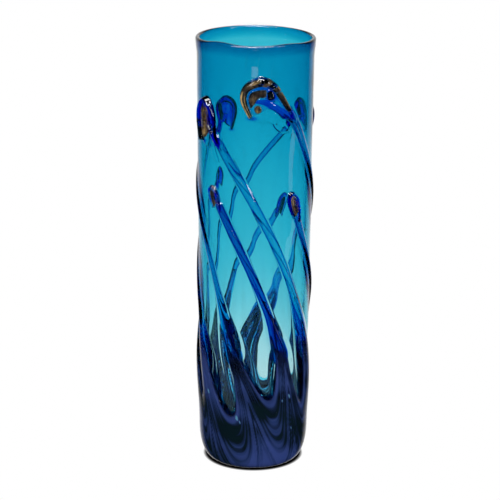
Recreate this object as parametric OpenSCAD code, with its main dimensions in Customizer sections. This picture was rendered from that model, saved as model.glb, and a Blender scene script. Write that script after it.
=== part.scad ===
// Hand blown cylinder vase, cased in clear glass over a blue-green lining.
// A cobalt gather wraps the base and is drawn up into eight twisted stems.
// Each stem ends in a head that carries a bit of silver glass.

/* [Body] */
// Height from the table to the top of the lip
height = 350; // [320:5:380]
// Outer radius of the lower body, over the cobalt gather
low_r = 44.5; // [41:0.5:48]
// How much wider the body is under the lip than at the bottom
flare = 1.8; // [0:0.2:4]
// Radius of the rounded lip's bead
lip_bead = 1.7; // [1.4:0.1:2]
// Radius of the circle that the lip's bead runs on
lip_r = 45.6; // [44.6:0.1:46.2]
// Thickness of the side wall
wall = 3.6; // [3:0.1:4.5]
// Thickness of the glass under the inside floor
floor_t = 16; // [12:1:22]
// Height at which the rounded heel meets the side
heel_h = 30; // [24:1:36]
// Radius of the flat that the vase stands on
heel_r = 34; // [30:1:38]

/* [Lining] */
// Thickness of the blue-green lining under the lip
lining_top = 1.4; // [1:0.1:1.8]
// Thickness of the blue-green lining near the floor, where it was blown thinner
lining_low = 0.5; // [0.4:0.1:0.8]

/* [Cobalt gather] */
// Thickness of the cobalt gather round the base
cup_t = 2.2; // [1.6:0.1:3]
// Height at which the gather has parted into separate stems
cup_top = 88; // [84:1:96]
// Thickness of the cobalt glass under the base
cup_floor = 4; // [3:0.5:5]

/* [Stems] */
// Half width of a stem where it is thinnest
stem_w = 4; // [3:0.1:4.6]
// Half width of a stem where it leaves the gather
root_w = 9.5; // [8:0.5:10.5]
// How far a stem stands out of the body
stem_h = 2.8; // [2:0.1:3.4]
// Thickness of a silver bit over its head
silver_t = 0.6; // [0.4:0.1:1]

/* [Pontil] */
// Radius of the polished pontil hollow
pontil_r = 14; // [10:1:18]
// Depth of the polished pontil hollow
pontil_depth = 1; // [0.6:0.1:1.2]

/* [Hidden] */
$fn = 96;
// Each stem: name, path, head height, half width and length of the head, how far the head
// stands out, the height of the valley on the stem's right, and how far the head curls aside
// from the stem's line, to the right. The path is four angles, evenly spaced in height from
// the gather to the head, in degrees from the front, turning to the right as seen from there.
STEMS = [
    ["left_tall", [70, 40, 1, -54], 290, 10, 40, 5, 60, 0],
    ["left_short", [33, 14, -11, -44], 230, 5.5, 21, 4, 56, 0],
    ["front_tall", [187, 133, 79, 27], 311, 16, 34, 5, 58, -16],
    ["right_short", [125, 98, 66, 42], 224, 5.5, 23, 4, 52, 0],
    ["back_right_tall", [262, 234, 194, 123], 284, 9.5, 26, 5, 60, 0],
    ["back_right_short", [228, 211, 183, 147], 205, 5.5, 22, 4, 64, 0],
    ["back_left_tall", [345, 320, 284, 208], 281, 11.5, 30, 5, 65, 5],
    ["back_left_short", [301, 282, 256, 220], 230, 5.5, 21, 4, 50, 0],
];
NAME = 0;
PATH = 1;
HEAD_Z = 2;
HEAD_W = 3;
HEAD_L = 4;
HEAD_H = 5;
VALLEY_Z = 6;
HEAD_ASIDE = 7;

HEEL_POWER = 2.2;        // how square the rounded heel is
LIP_RUN = 16;            // height over which the wall runs out to the lip
SINK_TOP = 112;          // height where the casing starts to thin under the gather
SINK_LOW = 50;           // height where it has thinned by the gather's whole thickness
STEM_STEPS = 26;         // rings along a stem
HEAD_STEPS = 10;         // rings along a head
ROUND = [-1, -0.85, -0.5, -0.25, 0, 0.25, 0.5, 0.85, 1];   // places across a stem's top
UNDER = [1, 0.5, 0, -0.5, -1];                              // places across its underside
EDGE_T = 0.25;           // thickness of a stem at its edges
FUSE_GAP = 0.03;         // keeps a faceted underside clear of the round wall beneath it

function smooth(t) = let (c = max(0, min(1, t))) c * c * (3 - 2 * c);
function mix(a, b, t) = a + (b - a) * t;

// Outer radius of the whole vase at height z, without its stems.
function outer_r(z) =
    z < heel_h
    ? mix(heel_r, low_r, pow(1 - pow(1 - max(0, z) / heel_h, HEEL_POWER), 1 / HEEL_POWER))
    : low_r + flare * pow((z - heel_h) / (height - heel_h), 2);
// Radius of the clear casing, which thins where the cobalt gather covers it.
function casing_r(z) = outer_r(z) - cup_t * smooth((SINK_TOP - z) / (SINK_TOP - SINK_LOW));
// Radius of the cavity.
function inner_r(z) = outer_r(max(z, heel_h)) - wall
    - (z < floor_t + heel_h ? (heel_h * 0.45) * (1 - sqrt(max(0, 1 - pow(
        (floor_t + heel_h - z) / heel_h, 2.4)))) : 0);
function lining_t(z) = mix(lining_low, lining_top, smooth((z - 60) / (height - 100)));

body_top = height - LIP_RUN;
side_z = [for (i = [0:22]) mix(floor_t + heel_h, body_top, i / 22)];
bowl_z = [for (i = [0:9]) floor_t + heel_h * (1 - cos(i * 10))];
cavity_low_r = inner_r(floor_t);

// Stretch of wall that runs out to the lip, as points from the body up to the bead.
function lip_outer() = [for (i = [0:6]) let (t = i / 6)
    [mix(outer_r(body_top), lip_r + lip_bead, smooth(t)), mix(body_top, height - lip_bead, t)]];
function lip_inner() = [for (i = [0:6]) let (t = i / 6)
    [mix(inner_r(body_top), lip_r - lip_bead, smooth(t)), mix(body_top, height - lip_bead, t)]];
function bead() = [for (a = [15:15:165])
    [lip_r + lip_bead * cos(a), height - lip_bead + lip_bead * sin(a)]];
function reversed(list) = [for (i = [len(list) - 1:-1:0]) list[i]];

cavity = concat([[0, floor_t], [cavity_low_r, floor_t]],
    [for (z = bowl_z) if (z > floor_t) [inner_r(z), z]],
    [for (z = side_z) if (z > floor_t + heel_h && z < body_top) [inner_r(z), z]]);
lining_end = height - LIP_RUN;

// The lining's outer side: the cavity's own line moved out by the lining's thickness.
lining_outer = concat([[0, floor_t - lining_low * 2], [cavity_low_r, floor_t - lining_low * 2]],
    [for (z = bowl_z) if (z > floor_t) [inner_r(z) + lining_t(z) * 1.4, z - lining_t(z)]],
    [for (z = side_z) if (z > floor_t + heel_h && z < body_top) [inner_r(z) + lining_t(z), z]],
    [[inner_r(lining_end) + lining_t(lining_end), lining_end]]);

module teal_lining() {
    color([0, 0.52, 0.66, 0.6])
        rotate_extrude()
            polygon(concat(lining_outer, [[inner_r(lining_end), lining_end]], reversed(cavity)));
}

casing_side = concat(
    [for (z = [cup_floor:2:heel_h]) [outer_r(z) - cup_t, z]],
    [for (z = [heel_h + 6:6:body_top]) [casing_r(z), z]]);

module clear_casing() {
    color([0.8, 0.93, 0.95, 0.35])
        rotate_extrude()
            polygon(concat([[0, cup_floor]], casing_side, lip_outer(), bead(),
                reversed(lip_inner()), reversed(lining_outer)));
}

// The gather before it is parted: a cup of even thickness round the heel and up the side.
module whole_cup() {
    rotate_extrude()
        polygon(concat([[0, 0]],
            [for (i = [0:10]) let (z = heel_h * pow(i / 10, 2)) [outer_r(z), z]],
            [for (z = [heel_h + 5:5:cup_top - 1]) [outer_r(z), z]],
            [[outer_r(cup_top), cup_top], [casing_r(cup_top), cup_top]],
            reversed([for (p = casing_side) if (p[1] < cup_top) p]),
            [[0, cup_floor]]));
}

// The hollow left where the pontil mark was ground away and polished.
module pontil_hollow() {
    hollow_r = (pontil_r * pontil_r + pontil_depth * pontil_depth) / (2 * pontil_depth);
    translate([0, 0, pontil_depth - hollow_r]) sphere(r = hollow_r);
}

// Thickness of the gather's tongues where the stems leave them.
cup_top_t = outer_r(cup_top) - casing_r(cup_top);
// Room that the surface gives to one degree of turn, at the gather.
degree = PI * low_r / 180;
roots = [for (s = STEMS) s[PATH][0]];
function next_root(a) = min([for (r = roots) if (r > a + 1) r, min(roots) + 360]);
lean = 15;               // slope of the stems where they leave the gather

// One U-shaped valley between two stems, cut through the gather's upper edge. It leans the
// way the stems do, and opens from its rounded bottom up to the stems' own width apart.
module valley(from_a, to_a, low) {
    half = ((to_a - from_a) * degree - 2 * root_w) / 2;
    depth = cup_top + 2.3 - low;
    rotate([0, 0, (from_a + to_a) / 2])
        rotate([90, 0, 0])
            linear_extrude(height = 2 * low_r)
                polygon(concat(
                    [for (i = [0:6]) let (t = pow(i / 6, 2))
                        [half * sqrt(t) * 0.96 + depth * (1 - t) * tan(lean), low + depth * t]],
                    [[half * 0.97, cup_top + 9], [-half * 0.97, cup_top + 9]],
                    [for (i = [6:-1:1]) let (t = pow(i / 6, 2))
                        [-half * sqrt(t) * 0.96 + depth * (1 - t) * tan(lean), low + depth * t]]));
}

module cobalt_cup() {
    color([0.08, 0.12, 0.5])
        difference() {
            whole_cup();
            pontil_hollow();
            for (s = STEMS)
                valley(s[PATH][0], next_root(s[PATH][0]), s[VALLEY_Z]);
        }
}

// Angle of a stem's centre line at height z: the cubic through the path's four angles.
function stem_angle(s, z) = let (t = 3 * (z - cup_top) / (s[HEAD_Z] - cup_top), p = s[PATH])
    p[0] * (1 - t) * (2 - t) * (3 - t) / 6 + p[1] * t * (2 - t) * (3 - t) / 2
    - p[2] * t * (1 - t) * (3 - t) / 2 + p[3] * t * (1 - t) * (2 - t) / 6;
// Slope of the centre line on the surface, in degrees from upright.
function stem_slope(s, z) = atan(
    (stem_angle(s, z - 1) - stem_angle(s, z + 1)) / 2 * PI * outer_r(z) / 180);
function neck_z(s) = s[HEAD_Z] - s[HEAD_L] * 0.5;
function neck_w(s) = stem_w * mix(1, s[HEAD_W] / 9, 0.35);

// Half width and height of a stem at t, from 0 at the gather to 1 at the neck.
function stem_half(s, t) = mix(mix(root_w, stem_w, smooth(t / 0.6)), neck_w(s), smooth(t * 2 - 1));
function stem_out(s, t) = stem_h * mix(0.8, 1, smooth(t * 2));
// Half width and height of a head at t, from 0 at the neck to 1 at the tip.
function head_half(s, t) = pow(pow(neck_w(s) * (1 - smooth(t * 1.6)), 3)
    + pow(s[HEAD_W] * sqrt(1 - pow(min(0.97, abs(2 * t - 1)), 2.2)), 3), 1 / 3);
function head_out(s, t) = mix(stem_h, s[HEAD_H], smooth(t / 0.5))
    * sqrt(max(0.1, 1 - pow(max(0, t - 0.5) / 0.5, 2.6)));

// A point on the surface, across by u to the side of the centre line, out by h. The slope
// turns the across direction from level to square with the stem.
function on_vase(s, z, u, h, turn, aside = 0) =
    let (slope = stem_slope(s, z) * turn, zz = z + u * sin(slope),
        a = stem_angle(s, z) + (u * cos(slope) + aside) / (PI * outer_r(z) / 180),
        r = casing_r(zz) + FUSE_GAP + h)
    [r * sin(a), -r * cos(a), zz];
// Height of a stem's top at c across it: an even band where it leaves the gather, round above.
function crown(z, c, h, t) = mix(cup_top_t, mix(EDGE_T, h, sqrt(1 - c * c)), smooth(t * 5));
// One ring of a stem: over the top and back along the underside.
function stem_ring(s, z, w, h, t) = concat(
    [for (c = ROUND) on_vase(s, z, c * w, crown(z, c, h, t), smooth(t * 5))],
    [for (c = UNDER) on_vase(s, z, c * w, 0, smooth(t * 5))]);
// How far a head has curled aside at t, from 0 at the neck to 1 at the tip.
function head_aside(s, t) = s[HEAD_ASIDE] * smooth(t * 2.2);
function head_ring(s, z, w, h, t) = concat(
    [for (c = ROUND) on_vase(s, z, c * w, mix(EDGE_T, h, sqrt(1 - c * c)), 1, head_aside(s, t))],
    [for (c = UNDER) on_vase(s, z, c * w, 0, 1, head_aside(s, t))]);

// A closed solid through a list of rings with the same number of points each.
module skin(rings) {
    n = len(rings[0]);
    m = len(rings);
    points = [for (r = rings) for (p = r) p];
    sides = [for (i = [0:m - 2]) for (j = [0:n - 1])
        let (a = i * n + j, b = i * n + (j + 1) % n, c = a + n, d = b + n)
        for (f = [[a, c, b], [b, c, d]]) f];
    first = [for (j = [1:n - 2]) [0, j, j + 1]];
    last = [for (j = [1:n - 2]) let (k = (m - 1) * n) [k, k + j + 1, k + j]];
    polyhedron(points, concat(sides, first, last));
}

module stem(s) {
    color([0, 0.2, 0.75])
        skin([for (i = [0:STEM_STEPS]) let (t = i / STEM_STEPS)
            stem_ring(s, mix(cup_top + FUSE_GAP, neck_z(s), t), stem_half(s, t), stem_out(s, t), t)]);
}

function head_z(s, t) = neck_z(s) + s[HEAD_L] * t;

module head(s) {
    color([0.02, 0.1, 0.62])
        skin([for (i = [0:HEAD_STEPS]) let (t = i / HEAD_STEPS)
            head_ring(s, head_z(s, t), head_half(s, t), head_out(s, t), t)]);
}

// The silver bit follows its head's own facets between these places.
SILVER_ACROSS = [-0.5, -0.25, 0, 0.25, 0.5];
SILVER_RINGS = [3, 4, 5, 6, 7, 8];
function silver_lift(i, t) = silver_t * (i == 3 || i == 8 ? 0.4 : 1) * (abs(t) == 0.5 ? 0.4 : 1);

module silver_bit(s) {
    color([0.62, 0.54, 0.38])
        skin([for (i = SILVER_RINGS)
            let (t = i / HEAD_STEPS, z = head_z(s, t), w = head_half(s, t), h = head_out(s, t),
                aside = head_aside(s, t))
            concat(
                [for (c = SILVER_ACROSS) on_vase(s, z, c * w,
                    mix(EDGE_T, h, sqrt(1 - c * c)) + FUSE_GAP + silver_lift(i, c), 1, aside)],
                [for (c = reversed(SILVER_ACROSS)) on_vase(s, z, c * w,
                    mix(EDGE_T, h, sqrt(1 - c * c)) + FUSE_GAP, 1, aside)])]);
}

teal_lining();
clear_casing();
cobalt_cup();
for (s = STEMS) {
    stem(s);
    head(s);
    silver_bit(s);
}
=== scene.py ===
"""Looks of the hand blown cylinder vase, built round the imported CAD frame.

One clear body carries every outer shape: the wall, the lip, the twisted stems in relief and the
folds of the base. The coloured glass lies inside that body as separate pieces, as it does in a
cased vase. Lengths are in millimetres until a mesh is made, and angles are in degrees from the
front, turning to the right.
"""

import math
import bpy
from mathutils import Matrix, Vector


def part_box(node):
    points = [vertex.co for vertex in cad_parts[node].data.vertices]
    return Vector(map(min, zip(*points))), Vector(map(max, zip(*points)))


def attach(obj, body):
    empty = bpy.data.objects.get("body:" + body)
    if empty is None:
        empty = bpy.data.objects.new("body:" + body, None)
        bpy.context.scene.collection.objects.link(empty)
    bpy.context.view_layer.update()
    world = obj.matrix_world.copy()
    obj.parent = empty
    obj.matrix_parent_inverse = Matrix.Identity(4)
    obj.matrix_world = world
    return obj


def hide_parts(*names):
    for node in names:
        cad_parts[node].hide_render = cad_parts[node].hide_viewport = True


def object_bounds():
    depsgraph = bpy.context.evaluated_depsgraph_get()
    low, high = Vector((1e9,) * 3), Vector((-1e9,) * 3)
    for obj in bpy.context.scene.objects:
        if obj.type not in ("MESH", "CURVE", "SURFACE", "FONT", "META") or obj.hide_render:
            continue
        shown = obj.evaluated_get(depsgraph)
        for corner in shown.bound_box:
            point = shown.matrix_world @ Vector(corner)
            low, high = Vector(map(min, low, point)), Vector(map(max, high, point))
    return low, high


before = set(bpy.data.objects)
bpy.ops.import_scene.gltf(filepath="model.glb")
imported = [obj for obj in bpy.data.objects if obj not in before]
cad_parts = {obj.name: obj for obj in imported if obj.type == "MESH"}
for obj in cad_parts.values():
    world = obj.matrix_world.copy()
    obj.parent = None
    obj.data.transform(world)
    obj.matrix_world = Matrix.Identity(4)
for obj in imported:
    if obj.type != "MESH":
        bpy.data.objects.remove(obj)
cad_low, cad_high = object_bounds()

from types import SimpleNamespace

import bpy
import numpy as np
from mathutils import Quaternion, Vector

MM = 0.001

# ---- sizes

HEIGHT = cad_high.z / MM   # top of the lip
CUP_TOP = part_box("cobalt_cup")[1].z / MM   # where the stems leave the gather
LIP_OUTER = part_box("clear_casing")[1].x / MM
LIP_BEAD = 1.7   # radius of the lip's round edge
LIP_R = LIP_OUTER - LIP_BEAD
LIP_RUN = 16.0   # height over which the wall flares out to the lip
LOW_R = 44.5   # the wall's outer radius above the heel
FLARE = 1.8   # how much wider it is at the top
HEEL_R = 34.0   # the flat base's radius
HEEL_H = 30.0
HEEL_POWER = 2.2   # 2 for an elliptic heel, more for a squarer one
WALL = 3.6
FLOOR_T = 16.0
PONTIL_R = 14.0
PONTIL_DEPTH = 1.0

COLUMNS = 600   # points round the body
STEM_NAMES = sorted(n[5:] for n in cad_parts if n.startswith("stem_"))


def smooth(t):
    """0 up to 0, 1 from 1 on, and an S curve between them."""
    t = np.clip(t, 0.0, 1.0)
    return t * t * (3 - 2 * t)


def mix(a, b, t):
    return a + (b - a) * t


def turn(theta, start=0.0):
    """Angle from start to theta, the short way round."""
    return (theta - start + 180) % 360 - 180


def blob(p, q, p0, q0, wide, high):
    """A soft round hump of height 1 over p0, q0."""
    return np.exp(-((p - p0) / wide) ** 2 - ((q - q0) / high) ** 2)


def arch(x):
    """A half round over x from -1 to 1."""
    return np.sqrt(np.clip(1 - x ** 2, 0, 1))


def outer_r(z):
    """Radius of the body at height z, without its relief."""
    z = np.asarray(z, float)
    low = np.clip(z / HEEL_H, 0, 1)
    heel = HEEL_R + (LOW_R - HEEL_R) * (1 - (1 - low) ** HEEL_POWER) ** (1 / HEEL_POWER)
    side = LOW_R + FLARE * np.clip((z - HEEL_H) / (HEIGHT - HEEL_H), 0, 1) ** 2
    lip = smooth((z - HEIGHT + LIP_RUN) / (LIP_RUN - LIP_BEAD))
    return np.where(z < HEEL_H, heel, mix(side, LIP_OUTER, lip))


def inner_r(z):
    """Radius of the cavity at height z."""
    z = np.asarray(z, float)
    side = LOW_R + FLARE * np.clip((z - HEEL_H) / (HEIGHT - HEEL_H), 0, 1) ** 2 - WALL
    low = np.clip((FLOOR_T + HEEL_H - z) / HEEL_H, 0, 1)
    bowl = HEEL_H * 0.45 * (1 - np.sqrt(1 - low ** 2.4))
    lip = smooth((z - HEIGHT + LIP_RUN) / (LIP_RUN - LIP_BEAD))
    return mix(side - bowl, LIP_R - LIP_BEAD, lip)


# ---- noise

def noise(u, v, cells_u, cells_v, seed):
    """Smooth noise from -1 to 1 over u and v from 0 to 1. It joins up where u wraps round."""
    table = np.random.default_rng(seed).uniform(-1, 1, (cells_u, cells_v + 2))
    u = (np.asarray(u, float) % 1.0) * cells_u
    v = np.clip(v, 0, 1) * cells_v
    iu, iv = u.astype(int), v.astype(int)
    fu, fv = smooth(u - iu), smooth(v - iv)
    iu, ju = iu % cells_u, (iu + 1) % cells_u
    low = mix(table[iu, iv], table[ju, iv], fu)
    high = mix(table[iu, iv + 1], table[ju, iv + 1], fu)
    return mix(low, high, fv)


# ---- stems

def unrolled(node):
    """Angles, joined up from bottom to top, and heights of a CAD node's points."""
    co = np.empty(len(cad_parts[node].data.vertices) * 3)
    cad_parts[node].data.vertices.foreach_get("co", co)
    co = co.reshape(-1, 3) / MM
    co = co[np.argsort(co[:, 2])]
    angle = np.degrees(np.unwrap(np.arctan2(co[:, 0], -co[:, 1])))
    return angle, co[:, 2]


# For each stem: (thickness of its tube's skin, how far it stands out above the gather, its least
# half width, the lowest height of the valley to its right), (its head's half width and half
# length, and the head's shift to the right and up), (leaf in the head's rim and in its dish,
# depth of its cobalt, and how dark its patch is).
STEM_TABLE = {
    "left_tall": ((0.03, 2.6, 3.6, 60), (9.2, 20, -0.6, 2.0), (0.0, 1.0, 2.2, 0.0)),
    "left_short": ((0.34, 2.5, 3.5, 56), (4.8, 10, 0, 0), (0.0, 1.0, 1.0, 0.0)),
    "front_tall": ((0.06, 1.8, 3.5, 58), (16, 17, -1.2, 0.8), (1.0, 1.0, 0.1, 0.0)),
    "right_short": ((0.14, 2.0, 3.0, 52), (5.4, 12.5, 0, 0), (0.0, 1.0, 1.6, 0.0)),
    "back_right_tall": ((0.08, 2.0, 2.4, 60), (11.5, 13.5, 0, 0), (0.0, 0.0, 4.0, 0.7)),
    "back_right_short": ((0.12, 2.0, 3.0, 64), (5, 11, 0, 0), (0.0, 0.9, 1.8, 0.0)),
    "back_left_tall": ((0.08, 1.7, 3.0, 65), (11.3, 14.7, 0, 0.5), (0.0, 0.0, 4.2, 0.8)),
    "back_left_short": ((0.1, 1.8, 3.0, 50), (4.8, 10, 0, 0), (0.0, 0.0, 2.4, 0.7)),
}


class Stem:
    """A stem's centre line, read from its CAD node, with the width and height of its ridge."""

    ROOT_W = 9.5         # half width where it leaves the gather
    LEAST_SLOPE = -0.37  # in degrees to a millimetre, below the gather's upper edge

    def __init__(self, name):
        self.name = name
        angle, z = unrolled("stem_" + name)
        self.cubic = np.polyfit(z, angle, 3)
        self.slope_low = float(np.polyval(np.polyder(self.cubic), CUP_TOP))
        head_z = unrolled("head_" + name)[1]
        self.head_low, self.head_top = float(head_z.min()), float(head_z.max())
        self.head_mid = (self.head_low + self.head_top) / 2
        leaf_angle, leaf_z = unrolled("silver_bit_" + name)
        self.head_angle = float(np.median(leaf_angle[np.abs(leaf_z - self.head_mid) < 5]))
        self.neck = float(z.max())
        self.tall = "tall" in name
        (self.skin, self.rise, self.thin, self.valley), self.head_size, self.head_look = STEM_TABLE[name]

    def angle(self, z):
        """Angle of the centre line, straight on below the gather's upper edge."""
        z = np.asarray(z, float)
        above = np.polyval(self.cubic, np.maximum(z, CUP_TOP))
        return above + np.minimum(z - CUP_TOP, 0) * max(self.slope_low, self.LEAST_SLOPE)

    def lean(self, z):
        """Slope of the centre line from upright, in radians."""
        shift = (self.angle(z - 1) - self.angle(z + 1)) / 2
        return np.arctan(np.radians(shift) * outer_r(z))

    def half(self, z):
        """Half width of the ridge."""
        t = (np.asarray(z, float) - CUP_TOP) / (self.neck - CUP_TOP)
        return mix(mix(self.ROOT_W, self.thin, smooth(t / 0.38)), self.thin * 1.15, smooth(t * 2 - 1))


STEMS = [Stem(name) for name in STEM_NAMES]


def across(stem, theta, z):
    """Distance from a stem's centre line, square to the stem, and positive to its right."""
    return np.radians(turn(theta, stem.angle(z))) * outer_r(z) * np.cos(stem.lean(z))


SWELL = 2.7          # height of a ridge low down, where it leaves the gather
SHOULDER_W = 8.5     # half width of the shallow rise that carries a rod


def ridge(stem, theta, z):
    """Height of one stem's ridge above the body: a broad swell low down, a round rod higher up."""
    head_l = stem.head_size[1]
    high = mix(SWELL, stem.rise, smooth((z - 95) / 40))
    rise = high * smooth((z - 30) / 60) * smooth((stem.head_mid - 0.3 * head_l - z) / (0.4 * head_l))
    slim = smooth((z - 110) / 60)
    off = across(stem, theta, z)
    x = off / (stem.half(z) * mix(1.55, 1.12, slim))
    shoulder = 0.33 * high * slim * np.exp(-(off / SHOULDER_W) ** 2)
    shoulder = shoulder * smooth((stem.head_top + 6 - z) / 40)
    return np.hypot(rise * np.clip(1 - x * x, 0, 1) ** mix(2.0, 1.0, slim), shoulder)


# ---- the cobalt gather's edge

VALLEY_RISE = 30.0   # height over which a valley's sides close in to its U
BLEND = 5.0          # how softly two valleys meet
GATHER_T = 2.2       # thickness of the cobalt low down
GATHER_END = 150.0   # where the tongues have thinned out
SUNK = 2.3           # how far the clear valleys lie back


def opening(theta, z):
    """How far a point lies inside the clear valley nearest to it, in millimetres of height. It
    is under zero in the cobalt, and its level lines are U shapes, one in another."""
    in_turn = sorted(STEMS, key=lambda s: float(s.angle(CUP_TOP)) % 360)
    total = np.zeros(np.broadcast(theta, z).shape)
    for left, right in zip(in_turn, in_turn[1:] + in_turn[:1]):
        start = left.angle(z)
        gap = (right.angle(z) - start) % 360
        mid = start + gap / 2
        reach = np.radians(gap / 2) * outer_r(z)
        stout = mix(0.6, 1.0, smooth((np.abs(turn(mid)) - 60) / 50))
        wide = np.maximum(reach - stout * (left.half(z) + right.half(z)) / 2, 2.0)
        off = np.radians(np.abs(turn(theta, mid))) * outer_r(z)
        g = np.minimum(z - left.valley, VALLEY_RISE) - VALLEY_RISE * (off / wide) ** 2.5
        total = total + np.exp(np.clip(g, -250, 60) / BLEND)
    return BLEND * np.log(total + 1e-20)


def cobalt_t(theta, z):
    """Thickness of the cobalt gather and of the tongues drawn up from it."""
    thin = mix(1.0, 0.5, smooth((z - 66) / 34))
    return GATHER_T * thin * smooth(-opening(theta, z) / 14) * smooth((GATHER_END - z) / 60)


def sunk(theta, z):
    """How far the clear glass lies back where no cobalt covers it."""
    return SUNK * smooth((125 - z) / 60) * smooth(opening(theta, z) / 12 + 0.55)


# ---- heads

# A head's rolled rim, from its free end over the top to the stem: places in half widths to the
# right and half lengths up, and its own half width in half widths of the head. Its last two
# places follow the stem, as the swoosh's last one does.
HOOK = [(-0.5, -0.94, 0.1), (-0.83, -0.14, 0.17), (-0.65, 0.41, 0.2), (0.0, 0.68, 0.25), (0.56, 0.47, 0.2),
        (0.89, 0.09, 0.17)]
HOOK_KNEE_U = 1.25
# The fold that sweeps from the dish to the stem, the dish's lower edge, and the film's below it.
SWOOSH = [(-0.25, -0.2, 0.07), (0.25, -0.25, 0.14), (0.85, -0.6, 0.17)]
BRIM = [(-0.66, -0.95, 0), (-0.1, -0.8, 0), (0.35, -0.6, 0), (0.85, -0.88, 0), (1.35, -1.5, 0)]
WEB = [(-0.62, -1.02, 0), (-0.1, -1.2, 0), (0.5, -1.24, 0), (0.72, -1.5, 0), (1.05, -1.72, 0),
       (1.5, -1.7, 0)]
KNEE_V, FOOT_V = -0.59, -1.18   # where the rim turns to the stem, and where it meets it


def through(points, steps=8):
    """A smooth line through points, with this many steps from each to the next."""
    p = np.array([points[0], *points, points[-1]], float)
    t = np.linspace(0, 1, steps, endpoint=False)[:, None]
    pieces = [0.5 * (2 * b + (c - a) * t + (2 * a - 5 * b + 4 * c - d) * t ** 2
                     + (3 * b - a - 3 * c + d) * t ** 3)
              for a, b, c, d in zip(p[:-3], p[1:-2], p[2:-1], p[3:])]
    return np.vstack([*pieces, p[-1]])


def beside(x, y, line):
    """The nearest place on a line, from 0 to 1 along it, how far it is to the line's right, and
    the line's half width there."""
    best, along, side, wide = (np.full(x.shape, v) for v in (1e9, 0.0, 0.0, 1.0))
    for i, (a, b) in enumerate(zip(line[:-1], line[1:])):
        dx, dy = b[0] - a[0], b[1] - a[1]
        s = np.clip(((x - a[0]) * dx + (y - a[1]) * dy) / (dx * dx + dy * dy), 0, 1)
        px, py = x - a[0] - s * dx, y - a[1] - s * dy
        far = np.hypot(px, py)
        near = far < best
        best = np.where(near, far, best)
        along = np.where(near, (i + s) / (len(line) - 1), along)
        side = np.where(near, np.where(px * dy > py * dx, far, -far), side)
        wide = np.where(near, mix(a[2], b[2], s), wide)
    return along, side, wide


class Head:
    """A head's own places: u and v in half widths and half lengths from its middle, along its
    rolled rim, and inside its dish, its swoosh and its web."""

    def __init__(self, stem):
        self.tall = stem.tall
        self.half_w, self.half_l, right, up = stem.head_size
        self.z = stem.head_mid + up
        self.angle = stem.head_angle + math.degrees(right / float(outer_r(self.z)))
        self.lean = 0.0 if stem.tall else 0.25
        meet = []
        for v in (KNEE_V, FOOT_V):
            at = self.z + v * self.half_l
            off = math.radians(float(stem.angle(at)) - self.angle + 180) % (2 * math.pi) - math.pi
            meet.append((off * float(outer_r(at)) + self.lean * v * self.half_l) / self.half_w)
        hook = HOOK + [((HOOK_KNEE_U + meet[0]) / 2, KNEE_V, 0.14), (meet[1], FOOT_V, 0.13)]
        swoosh = SWOOSH + [(meet[1] - 0.12, FOOT_V, 0.15)]
        self.hook, self.swoosh, self.brim, self.web = (
            through([(u * self.half_w, v * self.half_l, w * self.half_w) for u, v, w in line])
            for line in (hook, swoosh, BRIM, WEB))

    def mm(self, theta, z):
        """Millimetres to the right of the head's middle and up from it."""
        return np.radians(turn(theta, self.angle)) * outer_r(z), z - self.z

    def fields(self, x, y):
        """What lies at x, y: u and v, the place t along the rim, the distances e and f from the
        middles of the rim and of the swoosh in their half widths, and shares of dish, web and rim."""
        x = x + self.lean * y
        g = SimpleNamespace(u=x / self.half_w, v=y / self.half_l)
        g.t, side, wide = beside(x, y, self.hook)
        g.e = side / wide
        _, swoosh, swoosh_wide = beside(x, y, self.swoosh)
        g.f = swoosh / swoosh_wide
        brim = beside(x, y, self.brim)[1]
        g.dish = smooth((side - 0.6 * wide) / (0.15 * self.half_w)) * smooth(-brim / (0.08 * self.half_w))
        g.dish = g.dish * (g.t < 0.999) * (g.v > FOOT_V + 0.08)
        along, web, _ = beside(x, y, self.web)
        g.web = smooth(0.5 - web / 0.8) * smooth(brim / 0.6 + 0.5) * (along > 0.01) * (along < 0.99)
        g.rim = smooth((1 - np.abs(g.e)) / 0.12) * smooth(g.t / 0.02)
        return g

    def height(self, x, y):
        """Height of the head above the body at x, y."""
        g = self.fields(x, y)
        top = 5.0 if self.tall else 3.3
        rim = mix(top, 2.9, smooth((g.t - 0.6) / 0.35)) * arch(g.e)
        swoosh = (3.0 if self.tall else 2.4) * arch(g.f)
        dish = (2.4 if self.tall else 2.2) * g.dish
        lumps = 1.6 * blob(g.u, g.v, -0.15, -0.58, 0.17, 0.16)
        lumps = lumps + 0.9 * blob(g.u, g.v, 0.5, -0.05, 0.14, 0.16)
        lumps = (lumps + 0.8 * blob(g.u, g.v, -0.3, 0.1, 0.25, 0.2)) * self.tall
        film = (0.7 if self.tall else 0.3) * g.web
        total = np.cbrt(rim ** 3 + swoosh ** 3 + (dish + lumps * g.dish) ** 3)
        return np.maximum(total, film)

    def bump(self, theta, z):
        """Height of the head above the body."""
        x, y = np.broadcast_arrays(*self.mm(theta, z))
        out = np.zeros(x.shape)
        near = (np.abs(x) < 2.4 * self.half_w) & (np.abs(y) < 2.0 * self.half_l)
        if near.any():
            out[near] = self.height(x[near], y[near])
        return out


for one in STEMS:
    one.head = Head(one)

# Small lumps over seeds in the glass: angles and heights.
SEEDS = [(-18, 46), (-14, 71), (-12, 66), (24, 50), (31, 62), (-38, 55), (63, 58), (118, 49), (160, 66),
         (-150, 52), (-104, 62)]


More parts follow.
